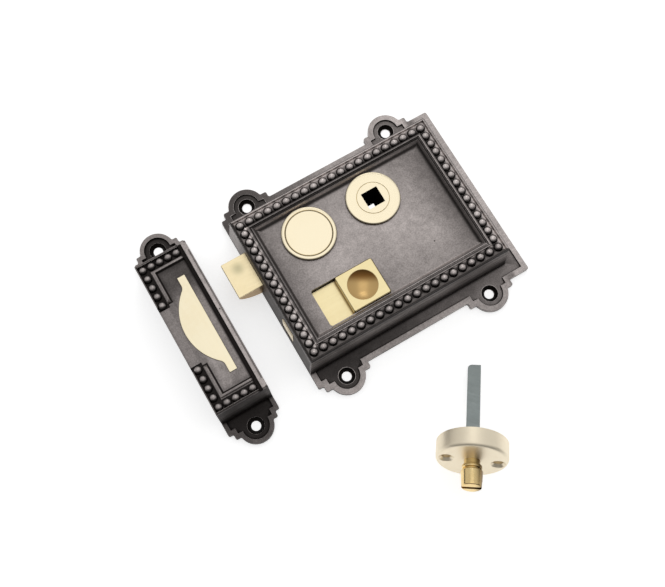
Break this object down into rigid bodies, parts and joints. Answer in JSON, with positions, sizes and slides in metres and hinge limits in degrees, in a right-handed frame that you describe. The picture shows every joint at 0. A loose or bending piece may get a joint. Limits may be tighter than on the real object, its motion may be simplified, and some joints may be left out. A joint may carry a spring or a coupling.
{
  "type": "rim latch with keep and coin release",
  "caption": "Surface-mounted door latch with sprung bolt, sliding privacy snib, strike keep and coin release; beaded rectangular iron case.",
  "frame": {"origin": "centre of the four case screws, on the face of the door", "axes": "+Z out of the door through the case, +Y up the door, -X the way the bolts shoot"},
  "size_m": [0.161, 0.1791, 0.0324],
  "materials": {
    "case iron": "burnished dark pewter",
    "keep iron": "burnished dark pewter",
    "back plate steel": "blackened",
    "follower iron": "dark, oiled",
    "polished brass": "polished",
    "strike brass": "polished",
    "release brass": "satin",
    "release turn brass": "polished",
    "dull steel": "dull",
    "spring steel": "drawn",
    "tail steel": "plated, grey-green"
  },
  "bodies": {
    "lock": {"case_body": "case iron", "back_plate": "back plate steel", "back_plate_screws": "dull steel", "follower_rose": "polished brass", "blank_disc": "polished brass", "blank_disc_washer": "polished brass", "latch_spring": "spring steel", "snib_spring": "spring steel", "snib_spring_screws": "dull steel", "keep_body": "keep iron", "keep_strike": "strike brass", "keep_strike_rivets": "strike brass", "release_rose": "release brass"},
    "follower_hub": {"follower": "polished brass"},
    "latch": {"latch_bolt": "polished brass", "latch_tail": "dull steel", "latch_rivets": "dull steel"},
    "snib": {"snib_button": "polished brass", "snib_slide": "polished brass", "snib_rivets": "dull steel", "privacy_bolt": "polished brass", "privacy_bolt_rivets": "dull steel"},
    "cam": {"release_cam": "follower iron"},
    "coin_turn": {"release_turn": "release turn brass", "release_washer": "dull steel", "release_tail": "tail steel", "release_tail_pin": "dull steel"}
  },
  "joints": [
    {"name": "latch_slide", "type": "slide", "parent": "lock", "child": "latch", "axis": [1, 0, 0], "range_m": [0, 0.0113], "stiffness_N_per_m": 600, "springref_m": -0.008, "deforming": ["latch_spring"]},
    {"name": "follower_turn", "type": "hinge", "parent": "lock", "child": "follower_hub", "pos_m": [0.011, 0.0149, 0.012], "axis": [0, 0, -1], "range_deg": [0, 49.5]},
    {"name": "snib_slide", "type": "slide", "parent": "lock", "child": "snib", "axis": [-1, 0, 0], "range_m": [0, 0.0119]},
    {"name": "cam_turn", "type": "hinge", "parent": "lock", "child": "cam", "pos_m": [-0.012, -0.004, 0.006], "axis": [0, 0, -1], "range_deg": [0, 80.01]},
    {"name": "coin_turn", "type": "hinge", "parent": "lock", "child": "coin_turn", "pos_m": [-0.00808, -0.1028, 0.01498], "axis": [-0.567, -0.7524, 0.3353], "range_deg": [-40, 40]}
  ],
  "couplings": [
    {"joint": "follower_turn", "follows": "latch_slide", "rad_per_m": 76.427},
    {"joint": "cam_turn", "follows": "snib_slide", "rad_per_m": 117.33}
  ]
}
